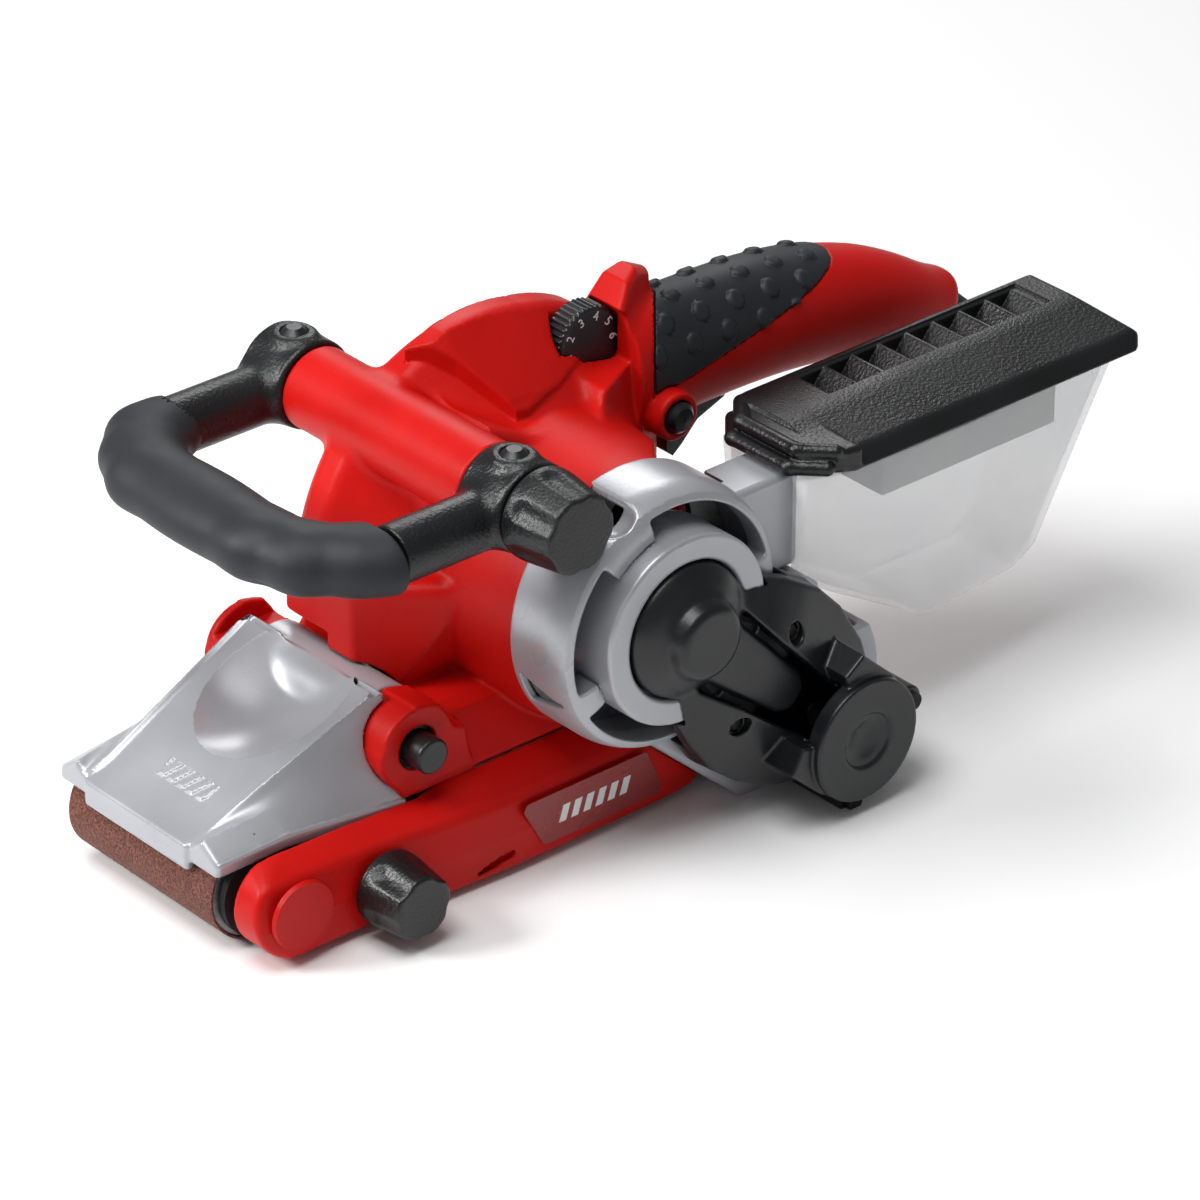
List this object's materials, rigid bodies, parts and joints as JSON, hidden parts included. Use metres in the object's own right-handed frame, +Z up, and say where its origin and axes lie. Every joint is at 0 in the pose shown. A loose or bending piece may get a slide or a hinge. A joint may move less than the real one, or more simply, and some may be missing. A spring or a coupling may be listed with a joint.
{
  "type": "handheld belt sander",
  "caption": "Electric handheld belt sander with a flip-up nose cover, front and rear handles, side belt drive and a plug-on dust box.",
  "frame": {"origin": "centre of the belt's flat sanding face, half way between the roller axes and half way across the belt", "axes": "+X to the rear of the tool (motor cord end), +Z up away from the work, -Y the drive cover side"},
  "size_m": [0.3709, 0.1785, 0.172],
  "materials": {
    "red_shell": "satin moulded plastic",
    "silver_shell": "satin silver lacquer on a casting",
    "black_grain": "grained black moulded plastic",
    "black_satin": "satin black moulded plastic",
    "grip_rubber": "soft-touch rubber",
    "abrasive": "aluminium oxide grit on cloth",
    "clear_box": "milky translucent plastic",
    "steel": "machined steel",
    "black_steel": "blackened steel",
    "casting": "plain aluminium casting",
    "copper": "enamelled copper wire",
    "carbon": "pressed carbon",
    "brass": "plain brass",
    "drive_rubber": "moulded rubber",
    "cork": "graphite cloth on cork",
    "filter_cloth": "pleated filter fleece",
    "dial_black": "matt black with white numbers",
    "label": "plain red label"
  },
  "bodies": {
    "body": {"bearing_shield": "casting", "brush_holders": "brass", "carbon_brushes": "carbon", "chassis": "casting", "clamp_bolt": "steel", "cord_gland": "drive_rubber", "cover_screws": "black_steel", "drive_belt": "drive_rubber", "drive_cover": "black_satin", "drive_housing": "silver_shell", "drum_bearings": "steel", "dust_duct": "silver_shell", "end_ring": "silver_shell", "front_cap": "red_shell", "handle_overmould": "grip_rubber", "hinge_pin": "black_satin", "housing_far": "red_shell", "housing_near": "red_shell", "housing_screws": "black_steel", "label_plate": "label", "lever_pin": "steel", "motor_bearings": "steel", "sanding_belt": "abrasive", "side_arm": "red_shell", "sole_pad": "cork", "sole_plate": "steel", "speed_module": "black_satin", "stator": "black_steel", "switch_block": "black_satin", "trigger_pin": "steel", "trigger_spring": "steel"},
    "fork": {"roller_fork": "black_steel", "roller_axle": "steel", "tension_spring": "steel"},
    "roller": {"front_roller": "casting", "roller_bushes": "brass"},
    "drum": {"rear_drum": "casting", "drum_tyre": "drive_rubber", "drum_shaft": "steel", "driven_pulley": "black_satin"},
    "rotor": {"rotor_shaft": "steel", "rotor_core": "black_steel", "rotor_windings": "copper", "commutator": "copper", "motor_fan": "black_satin", "drive_pinion": "steel"},
    "lever": {"release_lever": "black_grain"},
    "bail": {"bail_handle": "black_grain", "bail_grip": "grip_rubber", "bail_screws": "black_satin"},
    "clamp": {"clamp_knob": "black_grain"},
    "nose": {"nose_cover": "silver_shell"},
    "tracking": {"tracking_knob": "black_grain", "tracking_screw": "steel"},
    "trigger": {"trigger": "black_satin"},
    "lock": {"lock_button": "black_satin"},
    "dial": {"speed_dial": "dial_black"},
    "dust_box": {"dust_box": "clear_box", "dust_filter": "filter_cloth"},
    "dust_lid": {"dust_lid": "black_grain"}
  },
  "joints": [
    {"name": "drum_spin", "type": "hinge", "parent": "body", "child": "drum", "pos_m": [0.0986, 0, 0.0275], "axis": [0, 1, 0], "continuous": true},
    {"name": "roller_spin", "type": "hinge", "parent": "fork", "child": "roller", "pos_m": [-0.0986, 0, 0.0187], "axis": [0, 1, 0], "continuous": true},
    {"name": "rotor_spin", "type": "hinge", "parent": "body", "child": "rotor", "pos_m": [0.039, 0, 0.082], "axis": [0, 1, 0], "continuous": true},
    {"name": "belt_release", "type": "hinge", "parent": "body", "child": "lever", "pos_m": [-0.03, 0.037, 0.018], "axis": [0, 0, 1], "range_deg": [0, 75]},
    {"name": "fork_slide", "type": "slide", "parent": "body", "child": "fork", "axis": [1, 0, 0], "range_m": [0, 0.006]},
    {"name": "bail_swing", "type": "hinge", "parent": "body", "child": "bail", "pos_m": [-0.006, 0, 0.133], "axis": [0, 1, 0], "range_deg": [-15, 70]},
    {"name": "clamp_turn", "type": "hinge", "parent": "body", "child": "clamp", "pos_m": [-0.006, 0, 0.133], "axis": [0, 1, 0], "range_deg": [-180, 180]},
    {"name": "nose_flip", "type": "hinge", "parent": "body", "child": "nose", "pos_m": [-0.039, 0, 0.05], "axis": [0, 1, 0], "range_deg": [0, 38]},
    {"name": "tracking_turn", "type": "hinge", "parent": "body", "child": "tracking", "pos_m": [-0.065, 0, 0.016], "axis": [0, 1, 0], "range_deg": [-180, 180]},
    {"name": "trigger_pull", "type": "hinge", "parent": "body", "child": "trigger", "pos_m": [0.125, 0, 0.107], "axis": [0, 1, 0], "range_deg": [0, 6], "stiffness_Nm_per_rad": 2, "springref_deg": -5.73, "deforming": ["trigger_spring"]},
    {"name": "lock_press", "type": "slide", "parent": "body", "child": "lock", "axis": [0, 1, 0], "range_m": [0, 0.0025], "stiffness_N_per_m": 600, "springref_m": -0.002},
    {"name": "dial_turn", "type": "hinge", "parent": "body", "child": "dial", "pos_m": [0.0705, 0, 0.1415], "axis": [0, 1, 0], "range_deg": [-130, 130]},
    {"name": "box_off", "type": "slide", "parent": "body", "child": "dust_box", "axis": [1, 0, 0], "range_m": [0, 0.045]},
    {"name": "lid_off", "type": "slide", "parent": "dust_box", "child": "dust_lid", "axis": [0, 0, 1], "range_m": [0, 0.02]}
  ],
  "couplings": [
    {"joint": "roller_spin", "follows": "drum_spin", "ratio": 1.5},
    {"joint": "rotor_spin", "follows": "drum_spin", "ratio": 2.5},
    {"joint": "belt_release", "follows": "fork_slide", "rad_per_m": 218.17}
  ]
}
